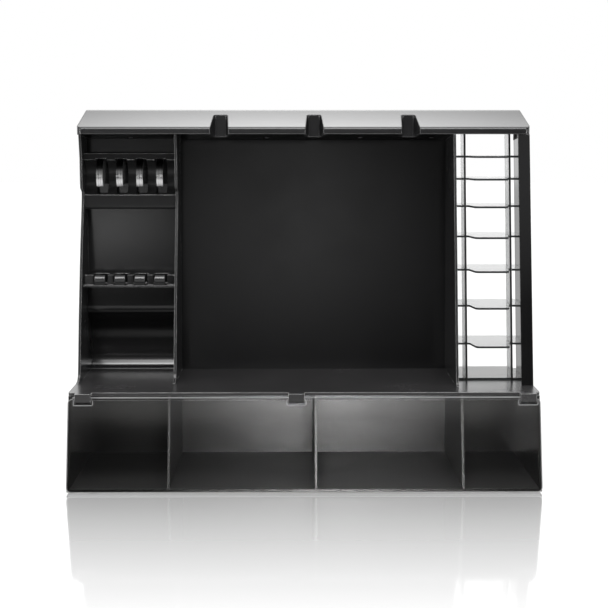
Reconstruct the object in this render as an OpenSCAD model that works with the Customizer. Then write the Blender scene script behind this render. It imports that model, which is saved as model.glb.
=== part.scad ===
// Barber clipper organizer
// A counter stand: tool column on the left, open bay in the middle, clear rack for comb guards
// on the right, a hood above and a divided bin with a flap door below.
// Millimetres, +Z up, front towards -Y, origin on the counter under the middle of the stand.

/* [Overall] */
// width across the two side panels
stand_width = 447.5; // [432:0.5:462]
// depth from the foot of the door to the rear of the hood
stand_depth = 186; // [180:1:194]
// height of the crest of the hood
stand_height = 360; // [352:1:372]
// thickness of the side panels and partitions
panel_thick = 2.5; // [2:0.1:3.2]

/* [Base] */
// height of the top face of the deck
deck_top = 92; // [87:1:96]
// thickness of the deck
deck_thick = 3; // [2.5:0.1:3.6]
// thickness of the walls and floor of the bin
bin_wall = 3; // [2.4:0.1:3.4]
// thickness of the upright dividers
divider_thick = 2.5; // [2:0.1:3.5]
// height of the rubber feet
foot_height = 1.5; // [1:0.1:3]
// diameter of the rubber feet
foot_diameter = 14; // [10:0.5:18]

/* [Door] */
// how far the foot of the door stands out in front of the deck
door_reach = 27; // [23:1:31]
// thickness of the door
door_thick = 3; // [2.4:0.1:3.2]
// diameter of the round bar along the top of the door
bar_diameter = 3.6; // [3.4:0.1:4]
// width of each hook that carries the bar
hook_width = 15; // [12:0.5:16]
// gap between the closed door and the walls it rests on
door_gap = 0.3; // [0.2:0.05:0.5]

/* [Columns] */
// width of the left tool column, to the near face of its partition
tool_column = 94.8; // [90:0.2:100]
// width of the right guard column, to the near face of its partition
guard_column = 73.2; // [68:0.1:78]
// thickness of the back panel
back_thick = 2.6; // [2:0.1:3.2]
// thickness of the curved wall in the tool column
wall_thick = 2.5; // [2:0.1:3]

/* [Tool rack] */
// spacing of the tool positions
tool_pitch = 20; // [18:0.5:21]
// width of the gaps in the upper rack
rack_gap = 11; // [9:0.5:13]
// radius of the scoop along the upper rack
scoop_radius = 17.5; // [16:0.5:18]
// width of the spring fingers
finger_width = 6.5; // [5:0.5:8]
// thickness of the spring fingers
finger_thick = 1.6; // [1.2:0.1:2.4]
// width of the notches in the lower rail
rail_notch = 14; // [12:0.5:15]
// width of the pegs on the lower rail
peg_width = 10.5; // [8:0.5:11.5]

/* [Guard rack] */
// thickness of the clear shelves
shelf_thick = 2; // [1.6:0.1:2.6]
// depth of a shelf without its tongue
shelf_depth = 51.5; // [48:0.5:55]
// length of the tongue on a shelf
tongue_length = 25; // [20:0.5:26]
// thickness of the clear uprights
fin_thick = 2; // [1.6:0.1:2.6]
// depth of the clear uprights
fin_depth = 26; // [22:0.5:30]

/* [Hood] */
// thickness of the hood shell
hood_wall = 2.6; // [2:0.1:3]
// width of the mouth of a cord notch
notch_mouth = 18; // [15:0.5:20]
// depth of a cord notch
notch_depth = 36; // [30:1:40]

/* [Hidden] */
$fn = 64;
fit = 0.1;
half = stand_width / 2;
front = -stand_depth / 2;
rear = stand_depth / 2;

// deck; behind the guard column its rear edge stands further in
deck_inset = 9;
guard_inset = 18;
deck_corner = 4;
deck_under = deck_top - deck_thick;
deck_front = front + door_reach;
deck_rear = rear - deck_inset;

// bin
bin_side = 0.5;
bin_inset = 23;
foot_inset = 23;
foot_rear_inset = 38;
bin_half = half - bin_side;
bin_rear = rear - bin_inset;
floor_top = foot_height + bin_wall;
foot_x = half - foot_inset;
foot_rows = [front + foot_inset, rear - foot_rear_inset];

// door and hooks
hook_wall = 2.7;
hook_snap = 0.6;
hook_root = 5;
hook_left = 14.8;
hook_middle = 7.5;
hook_right = 12;
axis_reach = 3.45;
axis_drop = 5.2;
door_lift = 0.3;
door_low_corner = 5;
door_top_corner = 4.5;
window_clear = 1.4;
window_side = 1.2;
divider_clear = 0.7;
bar_clear = 0.3;
bar_r = bar_diameter / 2;
bore_r = bar_r + fit;
hook_r = bore_r + hook_wall;
hook_mouth = bar_diameter - hook_snap;
hook_x = [-half + hook_left, -hook_middle, half - hook_right];
axis_y = deck_front - axis_reach;
axis_z = deck_top - axis_drop;
drop = [front - axis_y, foot_height + door_lift - axis_z];
door_lean = atan2(-drop[0], -drop[1]) - asin(bar_r / norm(drop));
door_length = sqrt(drop * drop - bar_r * bar_r);
window_reach = hook_r + window_clear;

// underside of the hood, which falls towards the rear and is level over the guard column
hood_reach = 74;
lip_foot = 24.6;
under_angle = 4.79;
guard_lift = 0.8;
lip_y = rear - hood_reach;
lip_low = stand_height - lip_foot;
guard_top = lip_low + guard_lift;

// panels of the columns
panel_inset = 9;
panel_top_inset = 1.5;
tab_length = 16;
left_tab_reach = [80, 34];
right_tab_reach = [108, 66];
left_tabs = [for (r = left_tab_reach) rear - r];
right_tabs = [for (r = right_tab_reach) rear - r];
left_face = -half + tool_column;
right_face = half - guard_column;

// back panel
back_inset = 21;
back_angle = 4.08;
back_foot = 3;
back_screw_inset = 14.6;
back_screw_end = 20;
back_screw_count = 5;
back_low = rear - back_inset;
back_screw_y = rear - back_screw_inset;
back_screw_step = (right_face - left_face - 2 * back_screw_end) / (back_screw_count - 1);
back_screw_x = [for (i = [0 : back_screw_count - 1]) left_face + back_screw_end + i * back_screw_step];

// curved edges of the tool column: distance in front of the rear, height above the deck
cheek_low = [[110, 0], [98.5, 3.8], [93.4, 17.1], [83.5, 63.1], [66.4, 125.9]];
// their heads, which go with the rack: distance in front of the rear, drop below the lip
cheek_neck = [[51, 70.4], [48.8, 58]];
cheek_high = [[57.5, 54.4], [59.1, 49.4], [59.3, 36.4], [59.6, 22], [61.6, 13.5], [65, -1.5]];
wall_curve = [[18.5, 0], [14.9, 4], [12.5, 9.5], [11.6, 16.5], [12.6, 31], [19.6, 45], [32.5, 57.4],
    [38.4, 62.8], [40, 69]];
wall_low = 40;
wall_high = 26;

// tool rack and rail
tool_shift = 1;
rack_drop = 75.4;
rack_reach = 47;
rack_round = 4;
rack_beam = 5;
scoop_lift = 32;
scoop_head = 19;
finger_reach = 43;
finger_r = 17;
finger_tip = 218;
finger_bead = 1.5;
rail_rise = 91;
rail_reach = 64;
rail_lip = 2;
rail_tooth = 10;
rail_notch_depth = 18;
lip_reach = 7.5;
peg_r = 4.3;
peg_foot = 1.3;
peg_neck = 4;
peg_inset = 0.3;
tool_x = [for (i = [-1.5 : 1 : 1.5]) (-half + panel_thick + left_face) / 2 + tool_shift + i * tool_pitch];
tool_wall_y = rear - wall_high;
rack_front = rear - rack_reach;
rack_low = lip_low - rack_drop;
scoop_z = rack_low + scoop_lift;
scoop_floor = scoop_z - scoop_radius;
rack_soffit = scoop_z + scoop_head;
finger_y = rear - finger_reach;
finger_z = rack_soffit - finger_r;
rail_low = deck_top + rail_rise;
rail_front = rear - rail_reach;

// guard column; the foot of its partition: distance in front of the rear, height above the deck
side_wall = 5;
post_width = 11.5;
post_depth = 4;
post_reach = 122;
post_angle = 11.31;
partition_foot = [[129, 0], [126, 1.4], [124, 5], [122.6, 12]];
partition_top = 70.4;
wall_inner = half - side_wall;
post_low = rear - post_reach;

// clear rack; the rises run from the deck to the first shelf and then from shelf to shelf,
// and close up or open out when the height between deck and hood changes
shelf_rise = [35.4, 37.1, 35.4, 32.9, 30, 27, 22.1];
shelf_head = 24.3;
shelf_slack = 0.3;
rack_inset = 45;
rack_angle = 10.26;
tongue_half = 19.6;
tongue_tip = 17;
tongue_nose = 5;
fin_offset = 22.5;
fin_shift = 0.5;
fin_bite = 13;
guard_plate = 2;
guard_reach = 90;
fin_slack = 0.8;
rack_low_y = rear - rack_inset;
rack_mid = (right_face + wall_inner) / 2;
shelf_half = (wall_inner - right_face) / 2 - fit;
fin_x = [-fin_shift - fin_offset, -fin_shift + fin_offset];
cross_depth = shelf_depth - fin_bite;
guard_front = rear - guard_reach;

// hood
hood_side = 0.5;
hood_corner = 6;
end_taper = 3.2;
lip_head = 18.2;
roof_angle = 19.9;
lip_round = 3.4;
crest_round = 24;
rear_round = 3.4;
notch_floor = 14.3;
notch_chamfer = 2;
notch_left = 45.4;
notch_right = 44.5;
hood_plate = 2;
hood_half = half + hood_side;
lip_high = stand_height - lip_head;
notch_x = [left_face + notch_left, (left_face + right_face) / 2, right_face - notch_right];

// screws
boss_r = 3.6;
screw_r = 1.5;
screw_length = 9;
screw_head_r = 2.8;
screw_head = 1.8;
screw_bite = 2.4;
sunk_head = 1.3;
hood_screw_inset = 31;
hood_screw_column = 46;
hood_screw_bay = 92;
hood_screw_end = 20;
hood_screw_x = [left_face - hood_screw_column, left_face + hood_screw_bay,
    right_face - hood_screw_bay, right_face - hood_screw_end];
hood_screw_y = rear - hood_screw_inset;

// heights and lines that several pieces share
function total(list, last) = last < 0 ? 0 : list[last] + total(list, last - 1);
shelf_stretch = (guard_top - shelf_head - deck_top) / total(shelf_rise, len(shelf_rise) - 1);
function shelf_z(i) = deck_top + shelf_stretch * total(shelf_rise, i);
function under(y) = lip_low - (y - lip_y) * tan(under_angle);
function rack_rear(z) = rack_low_y + (z - deck_top) * tan(rack_angle);
function back_face(z) = back_low + (z - deck_top) * tan(back_angle);
function post_front(z) = post_low + (z - deck_top) * tan(post_angle);
function above_deck(list) = [for (p = list) [rear - p[0], deck_top + p[1]]];
function below_lip(list) = [for (p = list) [rear - p[0], lip_low - p[1]]];

// smooth curve through a list of points
function curve_point(a, b, c, d, t) =
    0.5 * (2 * b + (c - a) * t + (2 * a - 5 * b + 4 * c - d) * t * t
    + (3 * b - a - 3 * c + d) * t * t * t);
function curve(p, steps) = concat(
    [for (i = [0 : len(p) - 2]) for (k = [0 : steps - 1])
        curve_point(p[max(i - 1, 0)], p[i], p[i + 1], p[min(i + 2, len(p) - 1)], k / steps)],
    [p[len(p) - 1]]);

// round edge about a centre, from the front over the top
function arc(centre, r, from, to, steps) = [for (i = [0 : steps])
    let (a = from + (to - from) * i / steps) centre + r * [-cos(a), sin(a)]];

// second face of a bent sheet, to the right of its path
function heading(p, i) = (p[i + 1] - p[i]) / norm(p[i + 1] - p[i]);
function side_of(v) = [v[1], -v[0]];
function shifted(p, t) = [for (i = [0 : len(p) - 1])
    let (n0 = side_of(heading(p, max(i - 1, 0))), n1 = side_of(heading(p, min(i, len(p) - 2))))
    p[i] + (n0 + n1) * t / (1 + n0 * n1)];
function reversed(p) = [for (i = [len(p) - 1 : -1 : 0]) p[i]];

// side profile (Y, Z) drawn out along X from x
module along_x(x, length) {
    translate([x, 0, 0]) rotate([90, 0, 90]) linear_extrude(length) children();
}

// part of a side profile between a floor level and the underside of the hood
module under_hood(level) {
    intersection() {
        children();
        polygon([[-stand_depth, level], [stand_depth, level], [stand_depth, under(stand_depth)],
            [-stand_depth, under(-stand_depth)]]);
    }
}

// what is cut from the foot of a panel so that only its two tabs reach into the deck
module between_tabs(starts) {
    edges = [-stand_depth, starts[0], starts[0] + tab_length, starts[1], starts[1] + tab_length,
        stand_depth];
    for (i = [0 : 2 : 4]) translate([edges[i], deck_under - 1])
        square([edges[i + 1] - edges[i], deck_thick + 1]);
}

module tab_slots(x, thick, starts) {
    for (y = starts) translate([x - fit, y - fit, deck_under - 1])
        cube([thick + 2 * fit, tab_length + 2 * fit, deck_thick + 2]);
}

module rounded(w, d, r) {
    translate([r, 0]) square([w - 2 * r, d]);
    translate([0, r]) square([w, d - 2 * r]);
    for (x = [r, w - r], y = [r, d - r]) translate([x, y]) circle(r);
}

// room that the closed door takes up, as a side profile
module door_room(gap) {
    translate([axis_y, axis_z]) {
        rotate(-door_lean) translate([-stand_depth, -stand_height])
            square([stand_depth + door_thick - bar_r + gap, 2 * stand_height]);
        circle(bar_r + gap + bar_clear);
    }
}

module base_bin() {
    color("#161616") {
        along_x(-bin_half, 2 * bin_half) difference() {
            union() {
                translate([front, foot_height]) square([bin_rear - front, bin_wall]);
                translate([bin_rear - bin_wall, foot_height])
                    square([bin_wall, deck_under - foot_height]);
            }
            door_room(door_gap);
        }
        for (x = [-bin_half, bin_half - bin_wall]) along_x(x, bin_wall) difference() {
            translate([front, foot_height])
                square([bin_rear - front, deck_under - foot_height]);
            door_room(door_gap);
        }
    }
}

module divider(x) {
    color("#1c1c1c") along_x(x - divider_thick / 2, divider_thick) difference() {
        translate([front, floor_top])
            square([bin_rear - bin_wall - front, deck_under - floor_top]);
        door_room(door_gap + divider_clear);
    }
}

module divider_left() { divider(left_face + panel_thick / 2); }
module divider_middle() { divider((left_face + right_face) / 2); }
module divider_right() { divider(right_face - panel_thick / 2); }

module hook_profile() {
    difference() {
        union() {
            translate([axis_y - hook_r, axis_z]) square([hook_r + hook_root, deck_top - axis_z]);
            translate([axis_y, axis_z]) circle(hook_r);
        }
        translate([axis_y, axis_z]) {
            circle(bore_r);
            rotate(-45) translate([0, -hook_mouth / 2]) square([2 * hook_r, hook_mouth]);
        }
    }
}

module deck() {
    color("#181818") difference() {
        union() {
            translate([-half, deck_front, deck_under]) linear_extrude(deck_thick)
                rounded(stand_width, deck_rear - deck_front, deck_corner);
            for (x = hook_x) along_x(x - hook_width / 2, hook_width) hook_profile();
        }
        translate([right_face, rear - guard_inset, deck_under - 1])
            cube([guard_column + 1, guard_inset, deck_thick + 2]);
        tab_slots(-half, panel_thick, left_tabs);
        tab_slots(left_face, panel_thick, left_tabs);
        tab_slots(right_face - panel_thick, panel_thick, right_tabs);
        tab_slots(wall_inner, side_wall, right_tabs);
        for (x = back_screw_x) translate([x, back_screw_y, deck_under - 1])
            cylinder(h = deck_thick + 2, r = screw_r + fit);
    }
}

module door_outline() {
    translate([-bin_half, -door_length]) {
        for (x = [door_low_corner, 2 * bin_half - door_low_corner])
            translate([x, door_low_corner]) circle(door_low_corner);
        for (x = [door_top_corner, 2 * bin_half - door_top_corner])
            translate([x, door_length - door_top_corner]) circle(door_top_corner);
        translate([door_low_corner, 0])
            square([2 * (bin_half - door_low_corner), door_length]);
        translate([0, door_low_corner])
            square([2 * bin_half, door_length - door_low_corner - door_top_corner]);
    }
}

module front_door() {
    color("#3a3a3a", 0.55) translate([0, axis_y, axis_z]) rotate([-door_lean, 0, 0]) {
        translate([0, door_thick - bar_r, 0]) rotate([90, 0, 0]) linear_extrude(door_thick) difference() {
            door_outline();
            for (x = hook_x) translate([x - hook_width / 2 - window_side, -window_reach])
                square([hook_width + 2 * window_side, window_reach + 1]);
        }
        along_x(door_top_corner - bin_half, 2 * (bin_half - door_top_corner)) circle(bar_r);
    }
}

module back_panel() {
    x0 = left_face + panel_thick;
    x1 = right_face - panel_thick;
    foot = deck_top + back_foot;
    color("#101010") difference() {
        along_x(x0, x1 - x0) under_hood(deck_top)
            polygon([[back_low, deck_top], [deck_rear, deck_top], [deck_rear, foot],
                [back_face(foot) + back_thick, foot],
                [back_face(stand_height) + back_thick, stand_height],
                [back_face(stand_height), stand_height]]);
        for (x = back_screw_x) translate([x, back_screw_y, deck_top - 1])
            cylinder(h = back_foot + 2, r = screw_r + fit);
    }
}

// rear edge of the panels that carry the hood, from the top down
function panel_back() = [[rear - panel_top_inset, stand_height], [rear - panel_inset, deck_top],
    [rear - panel_inset, deck_under]];

module cheek(x) {
    low = curve(concat(above_deck(cheek_low), below_lip(cheek_neck)), 6);
    high = curve(below_lip(cheek_high), 4);
    color("#151515") along_x(x, panel_thick) difference() {
        under_hood(deck_under) polygon(concat([[low[0][0], deck_under]], low, high, panel_back()));
        between_tabs(left_tabs);
    }
}

module left_side_panel() { cheek(-half); }
module left_partition() { cheek(left_face); }

module tool_wall() {
    path = concat(curve(above_deck(wall_curve), 6), [[rear - wall_low, rail_low],
        [tool_wall_y, rail_low], [tool_wall_y, stand_height]]);
    color("#131313") along_x(-half + panel_thick, tool_column - panel_thick) under_hood(deck_top)
        polygon(concat(path, reversed(shifted(path, wall_thick))));
}

module upper_tool_rack() {
    depth = tool_wall_y - rack_front;
    height = rack_soffit + rack_beam - rack_low;
    color("#191919") difference() {
        along_x(-half + panel_thick, tool_column - panel_thick) difference() {
            translate([rack_front, rack_low]) {
                translate([0, rack_round]) square([depth, height - rack_round]);
                translate([rack_round, 0]) square([depth - rack_round, rack_round + 1]);
                translate([rack_round, rack_round]) circle(rack_round);
            }
            translate([rack_front, scoop_z]) circle(scoop_radius);
        }
        for (x = tool_x) translate([x - rack_gap / 2, rack_front - 1, scoop_floor])
            cube([rack_gap, depth + 2, rack_soffit - scoop_floor]);
    }
}

// a flat strip along the soffit, bent down in an arc and ended in a bead
module clip_fingers() {
    tip = [cos(finger_tip), sin(finger_tip)];
    color("#9a9c9e") for (x = tool_x) along_x(x - finger_width / 2, finger_width) {
        translate([finger_y, rack_soffit - finger_thick])
            square([tool_wall_y - finger_y, finger_thick]);
        translate([finger_y, finger_z]) {
            difference() {
                circle(finger_r);
                circle(finger_r - finger_thick);
                translate([0, -2 * finger_r]) square(4 * finger_r);
                polygon([[0, 0], 4 * finger_r * tip, [0, -4 * finger_r]]);
            }
            translate((finger_r - finger_bead) * tip) circle(finger_bead);
        }
    }
}

module lower_tool_rail() {
    color("#191919") difference() {
        along_x(-half + panel_thick, tool_column - panel_thick) {
            translate([rail_front, rail_low]) square([tool_wall_y - rail_front, rail_lip + rail_tooth]);
            translate([rail_front - lip_reach, rail_low]) square([lip_reach + 1, rail_lip]);
        }
        for (x = tool_x) translate([x - rail_notch / 2, rail_front - 1, rail_low + rail_lip])
            cube([rail_notch, rail_notch_depth + 1, rail_tooth + 1]);
    }
}

module rail_pegs() {
    color("#222222") for (x = tool_x) along_x(x - peg_width / 2, peg_width)
        translate([rail_front - lip_reach + peg_inset + peg_r, rail_low + rail_lip]) {
            translate([0, peg_foot + peg_r]) circle(peg_r);
            translate([-peg_neck / 2, 0]) square([peg_neck, peg_foot + peg_r]);
        }
}

module right_partition() {
    foot = curve(above_deck(partition_foot), 4);
    color("#151515") along_x(right_face - panel_thick, panel_thick) difference() {
        under_hood(deck_under) polygon(concat([[foot[0][0], deck_under]], foot,
            [[rear - partition_top, stand_height]], panel_back()));
        between_tabs(right_tabs);
    }
}

module right_side_wall() {
    color("#151515") {
        along_x(wall_inner, side_wall) difference() {
            under_hood(deck_under) polygon([[post_low, deck_under], [post_low, deck_top],
                [post_front(stand_height), stand_height], [rack_rear(stand_height), stand_height],
                [rack_low_y, deck_top], [rack_low_y, deck_under]]);
            between_tabs(right_tabs);
        }
        along_x(half - post_width, post_width) under_hood(deck_top)
            polygon([[post_low, deck_top], [post_front(stand_height), stand_height],
                [post_front(stand_height) + post_depth, stand_height],
                [post_low + post_depth, deck_top]]);
    }
}

module rack_fin(i) {
    color("#d8e4e8", 0.5) along_x(rack_mid + fin_x[i] - fin_thick / 2, fin_thick) difference() {
        polygon([[rack_rear(deck_top) - shelf_depth, deck_top],
            [rack_rear(deck_top) - shelf_depth + fin_depth, deck_top],
            [rack_rear(guard_top) - shelf_depth + fin_depth, guard_top],
            [rack_rear(guard_top) - shelf_depth, guard_top]]);
        for (k = [0 : len(shelf_rise) - 1])
            translate([rack_rear(shelf_z(k)) - cross_depth - shelf_slack, shelf_z(k)])
                square([fin_depth, shelf_thick + fit]);
    }
}

module rack_fin_left() { rack_fin(0); }
module rack_fin_right() { rack_fin(1); }

module guard_floor() {
    slot = rack_low_y - shelf_depth + fin_depth + fin_slack - guard_front;
    color("#d8e4e8", 0.5) translate([rack_mid, 0, deck_top]) linear_extrude(guard_plate) difference() {
        translate([-shelf_half, guard_front]) square([2 * shelf_half, rear - guard_inset - guard_front]);
        for (x = fin_x) translate([x - fin_thick / 2 - fit, guard_front - 1])
            square([fin_thick + 2 * fit, slot + 1]);
    }
}

// outline of a shelf with its rear edge on Y 0
module shelf_outline() {
    reach = -shelf_depth - tongue_length;
    side = concat([[shelf_half, 0], [shelf_half, -shelf_depth]],
        curve([[tongue_half + 1, -shelf_depth], [tongue_half, -shelf_depth - 1],
            [tongue_half - 0.8, -shelf_depth - tongue_length * 0.3],
            [tongue_tip + 0.5, -shelf_depth - tongue_length * 0.62],
            [tongue_tip, reach + tongue_nose + 0.5]], 4),
        [for (a = [0 : 15 : 90]) [tongue_tip, reach] - tongue_nose * [1 - cos(a), sin(a) - 1]]);
    difference() {
        polygon(concat(side, reversed([for (p = side) [-p[0], p[1]]])));
        for (x = fin_x) translate([x - fin_thick / 2 - fit, -shelf_depth - 1])
            square([fin_thick + 2 * fit, shelf_depth - cross_depth + 1]);
    }
}

module guard_shelf(i) {
    color("#d8e4e8", 0.5) translate([rack_mid, rack_rear(shelf_z(i)), shelf_z(i)])
        linear_extrude(shelf_thick) shelf_outline();
}

module guard_shelf_1() { guard_shelf(0); }
module guard_shelf_2() { guard_shelf(1); }
module guard_shelf_3() { guard_shelf(2); }
module guard_shelf_4() { guard_shelf(3); }
module guard_shelf_5() { guard_shelf(4); }
module guard_shelf_6() { guard_shelf(5); }
module guard_shelf_7() { guard_shelf(6); }

// plan of the hood, drawn in by the given amount
module hood_plan(inset) {
    difference() {
        translate([-hood_half + inset, lip_y + inset])
            rounded(2 * (hood_half - inset), hood_reach - 2 * inset, hood_corner - inset);
        for (x = notch_x) translate([x, lip_y])
            polygon([[-notch_mouth / 2 - inset, -1], [notch_mouth / 2 + inset, -1],
                [notch_floor / 2 + inset, notch_depth - notch_chamfer],
                [notch_floor / 2 + inset - notch_chamfer, notch_depth + inset],
                [notch_chamfer - notch_floor / 2 - inset, notch_depth + inset],
                [-notch_floor / 2 - inset, notch_depth - notch_chamfer]]);
    }
}

// side profile of the hood: lip, roof, crest and rear; the drawn-in one is open at the bottom
module hood_profile(inset) {
    open = inset > 0 ? lip_foot : 0;
    turn = 90 - roof_angle;
    lip = [lip_y + lip_round, lip_high + lip_round * (tan(roof_angle) - 1 / cos(roof_angle))];
    crest = [lip_y + lip_head / tan(roof_angle) + crest_round * tan(roof_angle / 2),
        stand_height - crest_round];
    back = [rear - rear_round, stand_height - rear_round];
    polygon(concat([[lip_y + inset, under(lip_y) - open]], arc(lip, lip_round - inset, 0, turn, 5),
        arc(crest, crest_round - inset, turn, 90, 3), arc(back, rear_round - inset, 90, 180, 5),
        [[rear - inset, under(rear) - open]]));
}

// front view of the hood, whose ends lean in above the lip
module hood_ends(inset) {
    wide = hood_half - inset;
    slim = wide - end_taper;
    polygon([[-wide, 0], [wide, 0], [wide, lip_high], [slim, stand_height], [-slim, stand_height],
        [-wide, lip_high]]);
}

module hood_body(inset) {
    intersection() {
        along_x(-hood_half, 2 * hood_half) hood_profile(inset);
        linear_extrude(2 * stand_height) hood_plan(inset);
        translate([0, rear + 1, 0]) rotate([90, 0, 0]) linear_extrude(stand_depth) hood_ends(inset);
    }
}

module at_hood_screws() {
    for (x = hood_screw_x) translate([x, hood_screw_y, under(hood_screw_y)])
        rotate([-under_angle, 0, 0]) children();
}

// conical head that ends flush, as a solid or as the sink that it lies in
module sunk_cone(gap) {
    slope = (screw_head_r - screw_r) / sunk_head;
    below = gap > 0 ? 1 : 0;
    translate([0, 0, -below])
        cylinder(h = sunk_head + below, r1 = screw_head_r + gap + below * slope, r2 = screw_r + gap);
}

module hood_shell() {
    color("#1b1b1b") difference() {
        hood_body(0);
        difference() {
            hood_body(hood_wall);
            at_hood_screws() translate([0, 0, hood_plate]) cylinder(h = 2 * lip_foot, r = boss_r);
        }
        at_hood_screws() cylinder(h = screw_length + 1, r = screw_r + fit);
        translate([right_face, lip_y + hood_wall, 0])
            cube([wall_inner - right_face, hood_reach, guard_top]);
    }
}

module hood_underside() {
    y0 = lip_y + hood_wall;
    y1 = rear - hood_wall;
    rise = hood_plate / cos(under_angle);
    step = right_face - hood_plate;
    color("#141414") difference() {
        intersection() {
            union() {
                along_x(-hood_half, right_face + hood_half)
                    polygon([[y0, under(y0)], [y1, under(y1)], [y1, under(y1) + rise],
                        [y0, under(y0) + rise]]);
                along_x(step, hood_plate)
                    polygon([[y0, under(y0)], [y1, under(y1)], [y1, guard_top + hood_plate],
                        [y0, guard_top + hood_plate]]);
                translate([step, y0, guard_top]) cube([hood_half - step, y1 - y0, hood_plate]);
            }
            linear_extrude(stand_height) hood_plan(hood_wall + fit);
        }
        at_hood_screws() {
            translate([0, 0, -screw_length]) cylinder(h = 2 * screw_length, r = screw_r + fit);
            sunk_cone(fit);
        }
    }
}

module hood_screws() {
    color("#8a8d90") at_hood_screws() {
        sunk_cone(0);
        cylinder(h = screw_length, r = screw_r);
    }
}

module back_screws() {
    color("#8a8d90") for (x = back_screw_x) translate([x, back_screw_y, deck_top + back_foot]) {
        cylinder(h = screw_head, r = screw_head_r);
        translate([0, 0, -back_foot - screw_bite]) cylinder(h = back_foot + screw_bite, r = screw_r);
    }
}

module rubber_feet() {
    color("#2b2b2b") for (x = [-foot_x, foot_x], y = foot_rows)
        translate([x, y, 0]) cylinder(h = foot_height, d = foot_diameter);
}

base_bin();
divider_left();
divider_middle();
divider_right();
deck();
front_door();
back_panel();
left_side_panel();
left_partition();
tool_wall();
upper_tool_rack();
clip_fingers();
lower_tool_rail();
rail_pegs();
right_partition();
right_side_wall();
rack_fin_left();
rack_fin_right();
guard_floor();
guard_shelf_1();
guard_shelf_2();
guard_shelf_3();
guard_shelf_4();
guard_shelf_5();
guard_shelf_6();
guard_shelf_7();
hood_shell();
hood_underside();
hood_screws();
back_screws();
rubber_feet();
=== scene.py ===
import math

import bmesh
import bpy
import mathutils
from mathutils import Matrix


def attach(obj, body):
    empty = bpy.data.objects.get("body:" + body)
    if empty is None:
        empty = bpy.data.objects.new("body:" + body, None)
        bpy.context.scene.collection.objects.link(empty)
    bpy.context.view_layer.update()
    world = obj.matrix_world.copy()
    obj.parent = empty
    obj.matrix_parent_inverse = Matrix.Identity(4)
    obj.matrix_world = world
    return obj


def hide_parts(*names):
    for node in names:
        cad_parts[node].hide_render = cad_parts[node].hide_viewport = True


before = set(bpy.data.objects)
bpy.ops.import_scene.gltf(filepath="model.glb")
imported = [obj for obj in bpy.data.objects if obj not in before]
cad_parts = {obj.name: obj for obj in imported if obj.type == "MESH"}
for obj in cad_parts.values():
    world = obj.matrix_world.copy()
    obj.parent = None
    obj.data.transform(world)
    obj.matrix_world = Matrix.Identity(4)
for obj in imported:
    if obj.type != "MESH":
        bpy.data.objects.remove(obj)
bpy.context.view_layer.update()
scene = bpy.context.scene
scene.view_settings.view_transform = "Standard"
mmPerMetre = 1000.0
print("frame loaded,", len(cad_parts), "nodes")


# small helpers for node trees
def addNode(tree, kind, inputs=None, **settings):
    node = tree.nodes.new(kind)
    for name, value in settings.items():
        setattr(node, name, value)
    for name, value in (inputs or {}).items():
        socket = node.inputs[name]
        if isinstance(value, bpy.types.NodeSocket):
            tree.links.new(value, socket)
        else:
            socket.default_value = value
    return node


def calc(tree, operation, a, b=0.0, c=0.0, clamp=False):
    inputs = {0: a, 1: b, 2: c}
    return addNode(tree, "ShaderNodeMath", inputs, operation=operation, use_clamp=clamp).outputs[0]


def times(tree, first, *others):
    for other in others:
        first = calc(tree, "MULTIPLY", first, other)
    return first


def ramp(tree, value, start, end, least=0.0, most=1.0):  # smooth step between two levels
    inputs = {"Value": value, "From Min": start, "From Max": end, "To Min": least, "To Max": most}
    node = addNode(tree, "ShaderNodeMapRange", inputs, interpolation_type="SMOOTHSTEP")
    return node.outputs["Result"]


def blend(tree, share, first, second):  # mix of two colours
    inputs = {"Factor": share, "A": first, "B": second}
    return addNode(tree, "ShaderNodeMix", inputs, data_type="RGBA").outputs["Result"]


def axes(tree, vector):
    return addNode(tree, "ShaderNodeSeparateXYZ", {0: vector}).outputs


def objectPlace(tree):
    return addNode(tree, "ShaderNodeTexCoord").outputs["Object"]


def noise(tree, place, scale, detail, rough):
    inputs = {"Vector": place, "Scale": scale, "Detail": detail, "Roughness": rough}
    return addNode(tree, "ShaderNodeTexNoise", inputs).outputs["Fac"]


def addSockets(group, inOut, *sockets):
    made = [group.interface.new_socket(name=name, in_out=inOut, socket_type="NodeSocket" + kind)
            for name, kind in sockets]
    return {socket.name: socket.identifier for socket in made}


def newMaterial(name):
    mat = bpy.data.materials.new(name)
    mat.use_nodes = True
    mat.node_tree.nodes.clear()
    return mat, mat.node_tree


# camera of the photograph
photoView = {"lens": 83.0, "sensor": 36.0, "place": (-0.01155, -1.375, 0.3314),
             "tilt": 83.25, "turn": -0.49, "sight": 60.0}


def setCamera():
    lens = bpy.data.cameras.new("photoCamera")
    lens.lens = photoView["lens"]
    lens.sensor_width = photoView["sensor"]
    lens.clip_end = photoView["sight"]
    cam = bpy.data.objects.new("photoCamera", lens)
    cam.location = photoView["place"]
    cam.rotation_euler = (math.radians(photoView["tilt"]), 0.0, math.radians(photoView["turn"]))
    scene.collection.objects.link(cam)
    scene.camera = cam


setCamera()
print("camera set")

# studio: white sweep behind, dark room in front, soft light above; pairs are ends of a ramp
studio = {"room": 0.05, "sweep": 1.15, "sweepFrom": (-0.25, 0.3),
          "overhead": 2.3, "overheadUp": (0.3, 0.52), "overheadBack": (-0.2, 0.35),
          "overheadSide": (0.26, 0.02), "overheadEnds": 0.1,
          "ahead": (-0.3, -0.6), "haze": 0.35, "hazeUp": (0.285, 0.305),
          "window": 1.0, "windowUp": 0.085, "windowWide": 0.12,
          "whiteFrom": (-0.05, 0.15)}


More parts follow.
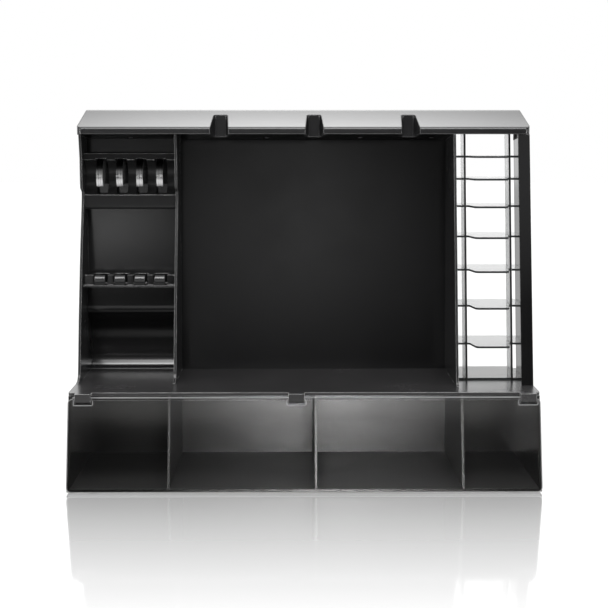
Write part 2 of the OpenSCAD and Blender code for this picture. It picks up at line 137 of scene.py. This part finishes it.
def setWorld():
    world = bpy.data.worlds.new("studio")
    scene.world = world
    world.use_nodes = True
    tree = world.node_tree
    tree.nodes.clear()
    ray = addNode(tree, "ShaderNodeLightPath").outputs
    way = axes(tree, addNode(tree, "ShaderNodeTexCoord").outputs["Generated"])
    behind = ramp(tree, way["Y"], *studio["sweepFrom"], studio["room"], studio["sweep"])
    above = times(tree, ramp(tree, way["Z"], *studio["overheadUp"], 0.0, studio["overhead"]),
                  ramp(tree, way["Y"], *studio["overheadBack"]),
                  ramp(tree, calc(tree, "ABSOLUTE", way["X"]), *studio["overheadSide"],
                       studio["overheadEnds"], 1.0))
    ahead = ramp(tree, way["Y"], *studio["ahead"])
    haze = times(tree, ramp(tree, way["Z"], *studio["hazeUp"], 0.0, studio["haze"]), ahead)
    rise = calc(tree, "SUBTRACT", way["Z"], studio["windowUp"])
    square = calc(tree, "ADD", times(tree, way["X"], way["X"]), times(tree, rise, rise))
    away = calc(tree, "SQRT", square)
    window = ramp(tree, away, studio["windowWide"], 0.0, 0.0, studio["window"])
    front = calc(tree, "ADD", haze, times(tree, window, ahead))
    light = calc(tree, "ADD", calc(tree, "ADD", behind, above), front)
    through = times(tree, ray["Is Transmission Ray"], ramp(tree, way["Y"], *studio["whiteFrom"]))
    seen = calc(tree, "MAXIMUM", ray["Is Camera Ray"], through)
    strength = addNode(tree, "ShaderNodeMix", {"Factor": seen, "A": light, "B": 1.0})
    back = addNode(tree, "ShaderNodeBackground", {"Color": (1, 1, 1, 1),
                                                  "Strength": strength.outputs["Result"]})
    addNode(tree, "ShaderNodeOutputWorld", {"Surface": back.outputs[0]})


# floor: pale near the object, a bright strip far in front on the left, a fading mirror image
paleFloor = {"size": 9.0, "glow": 0.78, "matt": 0.3, "through": 0.25, "throughFrom": (-0.12, 0.05),
             "dim": 0.03, "dimFrom": (-0.95, -0.45), "strip": 5.2, "stripStart": (-2.0, -4.2),
             "stripEnd": (-6.5, -4.8), "stripSide": (-0.44, -0.66),
             "mirror": 0.69, "mirrorReach": 0.58, "mirrorStart": 0.09, "mirrorRough": 0.06}


def setFloor():
    half = paleFloor["size"]
    mesh = bpy.data.meshes.new("studioFloor")
    corners = [(-half, -half, 0), (half, -half, 0), (half, half, 0), (-half, half, 0)]
    mesh.from_pydata(corners, [], [(0, 1, 2, 3)])
    floor = bpy.data.objects.new("studioFloor", mesh)
    scene.collection.objects.link(floor)
    mat, tree = newMaterial("paleFloor")
    ray = addNode(tree, "ShaderNodeLightPath").outputs
    across, along = axes(tree, objectPlace(tree))[:2]
    strip = times(tree, ramp(tree, along, *paleFloor["stripStart"], 0.0, paleFloor["strip"]),
                  ramp(tree, along, *paleFloor["stripEnd"]),
                  ramp(tree, across, *paleFloor["stripSide"]))
    near = ramp(tree, along, *paleFloor["dimFrom"], paleFloor["dim"], 1.0)
    mirrored = times(tree, ray["Is Glossy Ray"], calc(tree, "ADD", near, strip))
    through = times(tree, ray["Is Transmission Ray"],
                    ramp(tree, along, *paleFloor["throughFrom"], paleFloor["through"], 1.0))
    seen = calc(tree, "MAXIMUM", ray["Is Camera Ray"], calc(tree, "MAXIMUM", mirrored, through))
    glow = addNode(tree, "ShaderNodeEmission", {"Color": (1, 1, 1, 1),
                                                "Strength": times(tree, seen, paleFloor["glow"])})
    unmirrored = calc(tree, "SUBTRACT", 1.0, ray["Is Glossy Ray"])
    shade = times(tree, unmirrored, paleFloor["matt"])
    matt = addNode(tree, "ShaderNodeBsdfDiffuse", {"Color": shade})
    lit = addNode(tree, "ShaderNodeAddShader", {0: glow.outputs[0], 1: matt.outputs[0]})
    fade = calc(tree, "DIVIDE", calc(tree, "ADD", along, paleFloor["mirrorReach"]),
                paleFloor["mirrorReach"] - paleFloor["mirrorStart"], clamp=True)
    share = times(tree, fade, paleFloor["mirror"], ray["Is Camera Ray"])
    gloss = addNode(tree, "ShaderNodeBsdfGlossy", {"Color": (1, 1, 1, 1),
                                                   "Roughness": paleFloor["mirrorRough"]})
    mix = addNode(tree, "ShaderNodeMixShader", {0: share, 1: lit.outputs[0], 2: gloss.outputs[0]})
    addNode(tree, "ShaderNodeOutputMaterial", {"Surface": mix.outputs[0]})
    mesh.materials.append(mat)


# a flag keeps a lamp off some pieces, or lets it reach nothing but them
rimPieces = ("hood_shell", "left_side_panel", "left_partition", "right_partition",
             "lower_tool_rail", "rail_pegs", "deck", "front_door")
binPieces = ("base_bin", "divider_left", "divider_middle", "divider_right")
lamps = {
    "top": {"place": (0.0, -0.634, 1.392), "aim": (0.0, 0.0, 0.2), "size": (1.0, 0.8),
            "power": 20.0, "flag": "EXCLUDE", "pieces": ("front_door", "clip_fingers")},
    "left": {"place": (-1.5, -0.9, 0.9), "aim": (0.0, 0.0, 0.2), "size": (0.8, 1.2), "power": 3.0},
    "leftRim": {"place": (-1.3, -0.75, 0.25), "aim": (-0.05, 0.0, 0.25), "size": (0.35, 0.7),
                "power": 10.0, "flag": "INCLUDE", "pieces": rimPieces},
    "rightRim": {"place": (1.3, -0.75, 0.25), "aim": (0.05, 0.0, 0.25), "size": (0.35, 0.7),
                 "power": 10.0, "flag": "INCLUDE", "pieces": rimPieces},
    "under": {"place": (0.0, -0.32, 0.02), "aim": (0.0, 0.05, 0.33), "size": (0.5, 0.1),
              "power": 1.2, "flag": "INCLUDE",
              "pieces": ("hood_shell", "lower_tool_rail", "upper_tool_rack")},
    "cove": {"place": (-0.175, -1.03, 1.12), "aim": (-0.175, 0.07, 0.1), "size": (0.5, 0.86),
             "power": 8.5, "flag": "INCLUDE", "pieces": ("tool_wall",)},
    "strip": {"place": (-0.175, -0.72, 0.8), "aim": (-0.175, 0.04, 0.2), "size": (0.5, 0.06),
              "power": 2.6, "flag": "INCLUDE", "pieces": ("lower_tool_rail", "rail_pegs")},
    "low": {"place": (0.035, -0.62, 0.055), "aim": (0.035, 0.07, 0.06), "size": (0.2, 0.05),
            "power": 1.4, "spread": 38.0, "flag": "INCLUDE", "pieces": binPieces},
}
openSpread = 180.0
flags = {name: bpy.data.collections.new(name + "Flag")
         for name, lamp in lamps.items() if "flag" in lamp}


def setLamps():
    for name, lamp in lamps.items():
        data = bpy.data.lights.new(name + "Lamp", "AREA")
        data.shape = "RECTANGLE"
        data.size, data.size_y = lamp["size"]
        data.energy = lamp["power"]
        data.spread = math.radians(lamp.get("spread", openSpread))
        obj = bpy.data.objects.new(name + "Lamp", data)
        obj.location = lamp["place"]
        aim = [b - a for a, b in zip(lamp["place"], lamp["aim"])]
        obj.rotation_euler = mathutils.Vector(aim).to_track_quat("-Z", "Y").to_euler()
        obj.visible_camera = False
        if name in flags:
            obj.light_linking.receiver_collection = flags[name]
        scene.collection.objects.link(obj)


setWorld()
setFloor()
setLamps()
print("studio set")

# shared surface detail of moulded plastic: fine grain, soft handling marks, slow tone drift
skinDetail = {"grainDetail": 2.0, "grainRough": 0.55, "fleck": 0.04,
              "markSize": 9.0, "markDetail": 5.0, "markRough": 0.6, "markFrom": (0.35, 0.7)}


def makeSkinGroup():
    group = bpy.data.node_groups.new("mouldedSkin", "ShaderNodeTree")
    addSockets(group, "INPUT", ("Tone", "Color"), ("Lift", "Color"), ("Rough", "Float"),
               ("Spread", "Float"), ("Grain Size", "Float"))
    addSockets(group, "OUTPUT", ("Color", "Color"), ("Roughness", "Float"), ("Height", "Float"))
    given = addNode(group, "NodeGroupInput").outputs
    place = objectPlace(group)
    grain = noise(group, place, given["Grain Size"], skinDetail["grainDetail"],
                  skinDetail["grainRough"])
    marks = noise(group, place, skinDetail["markSize"], skinDetail["markDetail"],
                  skinDetail["markRough"])
    slow = ramp(group, marks, *skinDetail["markFrom"])
    tone = blend(group, slow, given["Tone"], given["Lift"])
    drift = calc(group, "MULTIPLY_ADD", slow, given["Spread"], given["Rough"])
    rough = calc(group, "MULTIPLY_ADD", grain, skinDetail["fleck"], drift)
    addNode(group, "NodeGroupOutput", {"Color": tone, "Roughness": rough, "Height": grain})
    return group


# shared rounded edges of the plastics, and the mask where their painted edge highlight goes
edgeDetail = {"samples": 6, "bendFrom": (0.985, 0.8)}


def findEdges(tree, radius):  # the normal turned over the edges, and a mask of where they are
    flat = addNode(tree, "ShaderNodeNewGeometry").outputs["Normal"]
    bevel = addNode(tree, "ShaderNodeBevel", {"Radius": radius}, samples=edgeDetail["samples"])
    soft = bevel.outputs[0]
    bend = addNode(tree, "ShaderNodeVectorMath", {0: soft, 1: flat}, operation="DOT_PRODUCT")
    return soft, ramp(tree, bend.outputs["Value"], *edgeDetail["bendFrom"])


def makeEdgeGroup():
    group = bpy.data.node_groups.new("roundedEdgesAndSheen", "ShaderNodeTree")
    addSockets(group, "INPUT", ("Radius", "Float"))
    addSockets(group, "OUTPUT", ("Normal", "Vector"), ("Edge", "Float"))
    given = addNode(group, "NodeGroupInput").outputs
    soft, edge = findEdges(group, given["Radius"])
    addNode(group, "NodeGroupOutput", {"Normal": soft, "Edge": edge})
    return group


skinGroup = makeSkinGroup()
edgeGroup = makeEdgeGroup()

# round is the edge radius in mm; the edge level after it sets how pale the edges are painted, a
# painted highlight along them
# the black finishes are one plastic whose tone is set piece by piece as painted light and shade:
# paler on lit pieces such as the deck, the pegs and the column, darker on shaded ones such as the
# bin, the dividers and the back panel
plastics = {
    "hoodBlack": {"tone": (0.010, 0.010, 0.0105), "lift": (0.014, 0.014, 0.0145),
                  "rough": 0.2, "spread": 0.03, "bump": 0.015, "grain": 1600.0,
                  "round": 1.6, "rubAndEdgeSheen": 0.06, "hollow": 2.4, "hollowAt": 0.043},
    "panelBlack": {"tone": (0.0045, 0.0045, 0.0048), "lift": (0.0065, 0.0065, 0.0068),
                   "rough": 0.13, "spread": 0.04, "bump": 0.03, "grain": 1600.0,
                   "round": 0.4, "rubAndEdgeSheen": 0.02},
    "columnBlack": {"tone": (0.016, 0.016, 0.0164), "lift": (0.02, 0.02, 0.0204),
                    "rough": 0.22, "spread": 0.05, "bump": 0.03, "grain": 1800.0,
                    "round": 1.2, "rubAndEdgeSheen": 0.26},
    "sideBlack": {"tone": (0.006, 0.006, 0.0063), "lift": (0.009, 0.009, 0.0093),
                  "rough": 0.09, "spread": 0.04, "bump": 0.02, "grain": 1800.0,
                  "round": 0.6, "rubAndEdgeSheen": 0.03},
    "wallBlack": {"tone": (0.009, 0.009, 0.0093), "lift": (0.012, 0.012, 0.0123),
                  "rough": 0.13, "spread": 0.03, "bump": 0.03, "grain": 1800.0,
                  "round": 0.9, "rubAndEdgeSheen": 0.2},
    "deckBlack": {"tone": (0.024, 0.0235, 0.024), "lift": (0.031, 0.03, 0.031),
                  "rough": 0.21, "spread": 0.05, "bump": 0.03, "grain": 1800.0,
                  "round": 0.8, "rubAndEdgeSheen": 0.5, "shine": 0.62},
    "binBlack": {"tone": (0.003, 0.003, 0.0029), "lift": (0.0045, 0.0045, 0.0043),
                 "rough": 0.15, "spread": 0.02, "bump": 0.03, "grain": 1500.0,
                 "round": 0.4, "rubAndEdgeSheen": 0.01, "floorRough": 0.22, "floorLitTone": 0.042},
    "dividerBlack": {"tone": (0.004, 0.004, 0.004), "lift": (0.006, 0.006, 0.006),
                     "rough": 0.5, "spread": 0.03, "bump": 0.03, "grain": 1500.0,
                     "round": 0.9, "rubAndEdgeSheen": 0.3},
    "rackBlack": {"tone": (0.015, 0.015, 0.0152), "lift": (0.019, 0.019, 0.0192),
                  "rough": 0.36, "spread": 0.04, "bump": 0.02, "grain": 2200.0,
                  "round": 1.0, "rubAndEdgeSheen": 0.8, "levelSheen": True, "shine": 0.12},
    "railGloss": {"tone": (0.004, 0.004, 0.0042), "lift": (0.006, 0.006, 0.0062),
                  "rough": 0.1, "spread": 0.04, "bump": 0.02, "grain": 2200.0,
                  "round": 0.8, "rubAndEdgeSheen": 0.45},
    "pegGloss": {"tone": (0.02, 0.02, 0.0203), "lift": (0.028, 0.028, 0.0284),
                 "rough": 0.1, "spread": 0.05, "bump": 0.02, "grain": 2200.0,
                 "round": 0.6, "rubAndEdgeSheen": 0.1},
    "footRubber": {"tone": (0.022, 0.022, 0.022), "lift": (0.034, 0.034, 0.033),
                   "rough": 0.68, "spread": 0.12, "bump": 0.25, "grain": 900.0,
                   "round": 0.3, "rubAndEdgeSheen": 0.04},
    "clearEdge": {"tone": (0.03, 0.032, 0.033), "lift": (0.05, 0.053, 0.055),
                  "rough": 0.22, "spread": 0.08, "bump": 0.08, "grain": 2400.0,
                  "round": 0.2, "rubAndEdgeSheen": 0.05},
    "finEdge": {"tone": (0.006, 0.0065, 0.0065), "lift": (0.012, 0.0125, 0.0125),
                "rough": 0.3, "spread": 0.08, "bump": 0.08, "grain": 2400.0,
                "round": 0.2, "rubAndEdgeSheen": 0.02},
    # painted highlight: the door's rim outside its face gets a pale grey tone
    "doorEdge": {"tone": (0.3, 0.3, 0.305), "lift": (0.42, 0.42, 0.425),
                 "rough": 0.3, "spread": 0.1, "bump": 0.1, "grain": 2400.0,
                 "round": 0.3, "rubAndEdgeSheen": 0.5},
}
plasticBody = {"ior": 1.52, "shine": 0.5, "grainDepth": 0.0002,
               "floorFrom": (0.4, 0.8), "levelFrom": (0.35, 0.1)}


def makePlastic(name):
    values = plastics[name]
    mat, tree = newMaterial(name)
    skin = addNode(tree, "ShaderNodeGroup", {
        "Tone": (*values["tone"], 1), "Lift": (*values["lift"], 1), "Rough": values["rough"],
        "Spread": values["spread"], "Grain Size": values["grain"]}, node_tree=skinGroup).outputs
    tone, rough = skin["Color"], skin["Roughness"]
    if "floorRough" in values:  # upward faces are rougher, worn by what lies on them, and painted paler as painted light on the bin's floor
        normal = addNode(tree, "ShaderNodeNewGeometry").outputs["Normal"]
        up = ramp(tree, axes(tree, normal)["Z"], *plasticBody["floorFrom"])
        rough = calc(tree, "MULTIPLY_ADD", up, values["floorRough"], rough)
        tone = blend(tree, up, tone, (*[values["floorLitTone"]] * 3, 1))
    edges = addNode(tree, "ShaderNodeGroup", {"Radius": values["round"] / mmPerMetre},
                    node_tree=edgeGroup).outputs
    soft, edge = edges["Normal"], edges["Edge"]
    if values.get("levelSheen"):  # only edges that run level get the painted highlight
        lean = calc(tree, "ABSOLUTE", axes(tree, soft)["X"])
        edge = times(tree, edge, ramp(tree, lean, *plasticBody["levelFrom"]))
    # painted highlight: the edges are blended toward a pale grey
    tone = blend(tree, edge, tone, (*[values["rubAndEdgeSheen"]] * 3, 1))
    if "hollow" in values:  # the slope is moulded slightly hollow from front to back
        off = calc(tree, "SUBTRACT", axes(tree, objectPlace(tree))["Y"], values["hollowAt"])
        sag = times(tree, off, off, values["hollow"] / 2)
        soft = addNode(tree, "ShaderNodeBump", {"Strength": 1.0, "Distance": 1.0, "Height": sag,
                                                "Normal": soft}).outputs["Normal"]
    bump = addNode(tree, "ShaderNodeBump", {
        "Strength": values["bump"], "Distance": plasticBody["grainDepth"],
        "Height": skin["Height"], "Normal": soft})
    body = addNode(tree, "ShaderNodeBsdfPrincipled", {
        "Base Color": tone, "Roughness": rough, "Normal": bump.outputs["Normal"],
        "IOR": plasticBody["ior"], "Specular IOR Level": values.get("shine", plasticBody["shine"])})
    addNode(tree, "ShaderNodeOutputMaterial", {"Surface": body.outputs[0]})
    return mat


acrylics = {
    "smokedAcrylic": {"tint": (0.86, 0.855, 0.83), "shade": (0.7, 0.7, 0.71), "rough": 0.02,
                      "rubAndEdgeSheen": 0.015, "gloss": 0.5, "round": 2.4, "rim": (0.5, 0.5, 0.505)},
    "clearAcrylic": {"tint": (0.74, 0.755, 0.755), "shade": (0.88, 0.9, 0.9), "rough": 0.17,
                     "rubAndEdgeSheen": 0.03, "gloss": 0.5},
    # painted shade: the shelves' sheet is tinted greyer than the other clear sheets
    "shelfAcrylic": {"tint": (0.5, 0.51, 0.51), "shade": (0.88, 0.9, 0.9), "rough": 0.12,
                     "rubAndEdgeSheen": 0.03, "gloss": 0.15},
}
acrylicBody = {"ior": 1.49, "deep": 0.96, "markSize": 14.0, "markDetail": 6.0, "markRough": 0.65,
               "markFrom": (0.4, 0.75)}


def makeAcrylic(name):  # polished sheet: faint rub marks, lamps pass through it
    values = acrylics[name]
    mat, tree = newMaterial(name)
    marks = noise(tree, objectPlace(tree), acrylicBody["markSize"], acrylicBody["markDetail"],
                  acrylicBody["markRough"])
    rough = ramp(tree, marks, *acrylicBody["markFrom"],
                 values["rough"], values["rough"] + values["rubAndEdgeSheen"])
    deep = [v * acrylicBody["deep"] for v in values["tint"]]
    body = addNode(tree, "ShaderNodeBsdfPrincipled", {
        "Base Color": blend(tree, marks, (*values["tint"], 1), (*deep, 1)), "Roughness": rough,
        "IOR": acrylicBody["ior"], "Specular IOR Level": values["gloss"],
        "Transmission Weight": 1.0}).outputs[0]
    if "rim" in values:  # painted highlight: a pale layer mixed over the door along its edges
        edge = findEdges(tree, values["round"] / mmPerMetre)[1]
        rim = addNode(tree, "ShaderNodeBsdfPrincipled", {
            "Base Color": (*values["rim"], 1), "Roughness": rough, "IOR": acrylicBody["ior"]})
        rimmed = addNode(tree, "ShaderNodeMixShader", {0: edge, 1: body, 2: rim.outputs[0]})
        body = rimmed.outputs[0]
    thin = addNode(tree, "ShaderNodeBsdfTransparent", {"Color": (*values["shade"], 1)})
    lampRay = addNode(tree, "ShaderNodeLightPath").outputs["Is Shadow Ray"]
    mix = addNode(tree, "ShaderNodeMixShader", {0: lampRay, 1: body, 2: thin.outputs[0]})
    addNode(tree, "ShaderNodeOutputMaterial", {"Surface": mix.outputs[0]})
    return mat


# stretch draws the marks out along the spring; the shade heights give where the spring's upper end
# is painted dark as painted shade under the rack
steels = {
    "screwSteel": {"tone": (0.42, 0.42, 0.43), "lift": (0.58, 0.58, 0.57), "rough": 0.3,
                   "spread": 0.12, "stretch": (1.0, 1.0, 1.0), "marks": 260.0},
    "clipSteel": {"tone": (0.72, 0.72, 0.73), "lift": (0.95, 0.95, 0.94), "rough": 0.24,
                  "spread": 0.12, "stretch": (9.0, 1.0, 0.35), "marks": 120.0,
                  "shadeFrom": (0.293, 0.302), "shadeTone": (0.02, 0.02, 0.02)},
}
steelBody = {"markDetail": 4.0, "markRough": 0.6, "markFrom": (0.35, 0.7)}


def makeSteel(name):
    values = steels[name]
    mat, tree = newMaterial(name)
    place = objectPlace(tree)
    along = addNode(tree, "ShaderNodeVectorMath", {0: place, 1: values["stretch"]},
                    operation="MULTIPLY").outputs[0]
    marks = noise(tree, along, values["marks"], steelBody["markDetail"], steelBody["markRough"])
    slow = ramp(tree, marks, *steelBody["markFrom"])
    tone = blend(tree, slow, (*values["tone"], 1), (*values["lift"], 1))
    if "shadeFrom" in values:  # painted shade: the spring's upper end under the rack is painted near black
        high = ramp(tree, axes(tree, place)["Z"], *values["shadeFrom"])
        tone = blend(tree, high, tone, (*values["shadeTone"], 1))
    rough = calc(tree, "MULTIPLY_ADD", slow, values["spread"], values["rough"])
    body = addNode(tree, "ShaderNodeBsdfPrincipled", {"Base Color": tone, "Roughness": rough,
                                                      "Metallic": 1.0})
    addNode(tree, "ShaderNodeOutputMaterial", {"Surface": body.outputs[0]})
    return mat


mats = {name: makePlastic(name) for name in plastics}
mats.update({name: makeAcrylic(name) for name in acrylics})
mats.update({name: makeSteel(name) for name in steels})
print("finishes made:", ", ".join(mats))

# moulded and cut pieces: the CAD shape with its edges broken; finish, slot and width in mm
edgeBreaks = {
    "base_bin": ("binBlack", "black_plastic", 0.5),
    "divider_left": ("dividerBlack", "black_plastic", 0.4),
    "divider_middle": ("dividerBlack", "black_plastic", 0.4),
    "divider_right": ("dividerBlack", "black_plastic", 0.4),
    "deck": ("deckBlack", "black_plastic", 0.6),
    "back_panel": ("panelBlack", "black_plastic", 0.3),
    "left_side_panel": ("columnBlack", "black_plastic", 0.5),
    "left_partition": ("columnBlack", "black_plastic", 0.5),
    "tool_wall": ("wallBlack", "black_plastic", 0.3),
    "upper_tool_rack": ("rackBlack", "black_plastic", 0.7),
    "clip_fingers": ("clipSteel", "clip_steel", 0.5),
    "lower_tool_rail": ("railGloss", "black_plastic", 0.5),
    "rail_pegs": ("pegGloss", "black_plastic", 1.3),
    "right_partition": ("columnBlack", "black_plastic", 0.5),
    "right_side_wall": ("sideBlack", "black_plastic", 0.6),
    "hood_shell": ("hoodBlack", "black_plastic", 0.9),
    "hood_underside": ("panelBlack", "black_plastic", 0.2),
    "front_door": ("smokedAcrylic", "smoked_acrylic", 0.5),
    "rack_fin_left": ("clearAcrylic", "clear_acrylic", 0.2),
    "rack_fin_right": ("clearAcrylic", "clear_acrylic", 0.2),
    "guard_floor": ("clearAcrylic", "clear_acrylic", 0.25),
}
shelves = [f"guard_shelf_{i}" for i in range(1, 8)]
edgeBreaks.update({shelf: ("shelfAcrylic", "clear_acrylic", 0.3) for shelf in shelves})
edgeForm = {"weld": 2e-6, "flat": 0.4, "sharp": 32.0, "segments": 3, "levelWeight": 100}

# sawn rims of the sheets: sheet is the way a sheet faces, the door's rim lies outside its limits
cutEdges = {
    "front_door": {"finish": "doorEdge", "side": 0.2221, "foot": 0.0045, "head": 0.0876},
    "rack_fin_left": {"finish": "finEdge", "sheet": (1, 0, 0)},
    "rack_fin_right": {"finish": "finEdge", "sheet": (1, 0, 0)},
    "guard_floor": {"finish": "clearEdge", "sheet": (0, 0, 1)},
}
cutEdges.update({shelf: {"finish": "clearEdge", "sheet": (0, 0, 1)} for shelf in shelves})
rimFacing = 0.5


def bakeModifiers(obj):
    deps = bpy.context.evaluated_depsgraph_get()
    made = bpy.data.meshes.new_from_object(obj.evaluated_get(deps))
    obj.modifiers.clear()
    obj.data = made


def paintCutEdges(mesh, cut):  # second finish on the sawn rim of a sheet
    mesh.materials.append(mats[cut["finish"]])
    for face in mesh.polygons:
        if "sheet" in cut:
            rim = abs(face.normal.dot(mathutils.Vector(cut["sheet"]))) < rimFacing
        else:
            inside = cut["foot"] < face.center.z < cut["head"]
            rim = abs(face.center.x) > cut["side"] or not inside
        face.material_index = 1 if rim else 0


def weldedCopy(node):  # the CAD mesh of a node with its corners joined
    bm = bmesh.new()
    bm.from_mesh(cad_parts[node].data)
    bmesh.ops.remove_doubles(bm, verts=bm.verts, dist=edgeForm["weld"])
    return bm


def breakEdges(node, finish, width):
    mesh = bpy.data.meshes.new(node + "_moulded")
    bm = weldedCopy(node)
    bmesh.ops.dissolve_limit(bm, angle_limit=math.radians(edgeForm["flat"]),
                             verts=bm.verts, edges=bm.edges)
    for face in bm.faces:
        face.smooth = True
    bm.to_mesh(mesh)
    bm.free()
    obj = bpy.data.objects.new(node + "_moulded", mesh)
    scene.collection.objects.link(obj)
    bevel = obj.modifiers.new("edgeBreak", "BEVEL")
    bevel.width = width / mmPerMetre
    bevel.segments = edgeForm["segments"]
    bevel.limit_method = "ANGLE"
    bevel.angle_limit = math.radians(edgeForm["sharp"])
    level = obj.modifiers.new("flatFaces", "WEIGHTED_NORMAL")
    level.mode = "FACE_AREA"
    level.weight = edgeForm["levelWeight"]
    bakeModifiers(obj)
    obj.data.materials.clear()
    obj.data.materials.append(mats[finish])
    if node in cutEdges:
        paintCutEdges(obj.data, cutEdges[node])
    for name, flag in flags.items():
        if node in lamps[name]["pieces"]:
            flag.objects.link(obj)
            flag.collection_objects[-1].light_linking.link_state = lamps[name]["flag"]
    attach(obj, "door" if node == "front_door" else "stand")
    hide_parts(node)


for node, (finish, slot, width) in edgeBreaks.items():
    breakEdges(node, finish, width)
print("edges broken on", len(edgeBreaks), "pieces")


# screws and feet: one turned shape, set on its points by geometry nodes
def headRings(outer, crown, rise, count=22):  # fine rings over a screw head, flat or domed
    return [(outer * i / count, crown - rise * (i / count) ** 2) for i in range(count + 1)]


# rings are radius and height in mm; cross is the recess: reach, half width and depth
setPieces = {
    "hood_screws": {"head": headRings(2.55, 0.05, 0.0),
                    "shank": [(2.7, 0.1), (1.5, 1.3), (1.5, 8.4), (1.1, 9.0), (0, 9.0)],
                    "cross": (1.7, 0.34, 1.0), "lean": -4.79, "turn": 1.4, "seed": 4,
                    "finish": "screwSteel", "slot": "screw_steel"},
    "back_screws": {"head": headRings(2.4, 7.2, 0.5),
                    "shank": [(2.68, 6.45), (2.8, 6.15), (2.8, 5.4), (1.5, 5.4), (1.5, 0.4),
                              (1.1, 0), (0, 0)],
                    "cross": (1.7, 0.34, -0.9), "lean": 0.0, "turn": 1.4, "seed": 7,
                    "finish": "screwSteel", "slot": "screw_steel"},
    "rubber_feet": {"head": [(0, 0.35), (4.4, 0.35), (4.8, 0.0)],
                    "shank": [(6.5, 0.0), (6.85, 0.12), (7.0, 0.45), (7.0, 1.2), (6.85, 1.5),
                              (0, 1.5)],
                    "cross": None, "lean": 0.0, "turn": 0.0, "seed": 1,
                    "finish": "footRubber", "slot": "foot_rubber"},
}
turning = {"steps": 64, "crossRise": 0.45, "sharp": 35.0, "ringDepth": 0.0006}


def turnShape(name, head, shank, cross):
    steps = turning["steps"]
    bm = bmesh.new()
    rings = []
    for number, (radius, height) in enumerate(head + shank):
        ring = []
        for i in range(steps if radius else 1):
            angle = 2 * math.pi * i / steps
            x, y = radius * math.cos(angle), radius * math.sin(angle)
            far, near = max(abs(x), abs(y)), min(abs(x), abs(y))
            sink = 0.0
            if cross and number < len(head) and far < cross[0] and near < cross[1]:
                sink = cross[2] * (1 - turning["crossRise"] * far / cross[0])
            place = (x, y, height + sink)
            ring.append(bm.verts.new([v / mmPerMetre for v in place]))
        rings.append(ring)
    for low, high in zip(rings, rings[1:]):
        for i in range(steps):
            j = (i + 1) % steps
            corners = [low[i % len(low)], low[j % len(low)],
                       high[j % len(high)], high[i % len(high)]]
            bm.faces.new(list(dict.fromkeys(corners)))
    bmesh.ops.recalc_face_normals(bm, faces=bm.faces)
    mesh = bpy.data.meshes.new(name)
    bm.to_mesh(mesh)
    bm.free()
    mesh.shade_smooth()
    mesh.set_sharp_from_angle(angle=math.radians(turning["sharp"]))
    obj = bpy.data.objects.new(name, mesh)
    scene.collection.objects.link(obj)
    return obj


def findSpots(node):  # middle of the lowest ring of each separate solid
    bm = weldedCopy(node)
    left, spots = set(bm.verts), []
    while left:
        pile, found = [left.pop()], []
        while pile:
            vert = pile.pop()
            found.append(vert.co.copy())
            for other in [edge.other_vert(vert) for edge in vert.link_edges]:
                if other in left:
                    left.remove(other)
                    pile.append(other)
        lowest = min(v.z for v in found)
        ring = [v for v in found if v.z < lowest + turning["ringDepth"]]
        box = [(min(v[k] for v in ring) + max(v[k] for v in ring)) / 2 for k in range(3)]
        spots.append(tuple(round(v, 6) for v in box))
    bm.free()
    return sorted(spots)


def makeSetTree():
    tree = bpy.data.node_groups.new("setOnPoints", "GeometryNodeTree")
    addSockets(tree, "INPUT", ("Geometry", "Geometry"))
    named = addSockets(tree, "INPUT", ("Shape", "Object"), ("Lean", "Float"), ("Turn", "Float"),
                       ("Seed", "Int"), ("Finish", "Material"))
    addSockets(tree, "OUTPUT", ("Geometry", "Geometry"))
    given = addNode(tree, "NodeGroupInput").outputs
    spots = addNode(tree, "GeometryNodeMeshToPoints", {"Mesh": given["Geometry"]})
    shape = addNode(tree, "GeometryNodeObjectInfo", {"Object": given["Shape"]})
    turn = addNode(tree, "FunctionNodeRandomValue", {2: 0.0, 3: given["Turn"], 8: given["Seed"]},
                   data_type="FLOAT")
    pose = addNode(tree, "ShaderNodeCombineXYZ", {"X": given["Lean"], "Z": turn.outputs[1]})
    copies = addNode(tree, "GeometryNodeInstanceOnPoints", {
        "Points": spots.outputs[0], "Instance": shape.outputs["Geometry"],
        "Rotation": pose.outputs[0]})
    solid = addNode(tree, "GeometryNodeRealizeInstances", {"Geometry": copies.outputs[0]})
    done = addNode(tree, "GeometryNodeSetMaterial", {"Geometry": solid.outputs[0],
                                                     "Material": given["Finish"]})
    addNode(tree, "NodeGroupOutput", {"Geometry": done.outputs[0]})
    return tree, named


setTree, setInputs = makeSetTree()
for node, values in setPieces.items():
    shape = turnShape(node + "_shape", values["head"], values["shank"], values["cross"])
    mesh = bpy.data.meshes.new(node + "_set")
    mesh.from_pydata(findSpots(node), [], [])
    obj = bpy.data.objects.new(node + "_set", mesh)
    scene.collection.objects.link(obj)
    layout = obj.modifiers.new("layout", "NODES")
    layout.node_group = setTree
    for name, value in (("Shape", shape), ("Lean", math.radians(values["lean"])),
                        ("Turn", values["turn"]), ("Seed", values["seed"]),
                        ("Finish", mats[values["finish"]])):
        layout[setInputs[name]] = value
    bakeModifiers(obj)
    bpy.data.objects.remove(shape)
    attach(obj, "stand")
    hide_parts(node)
    print("set", len(mesh.vertices), "of", node, len(obj.data.polygons), "faces")
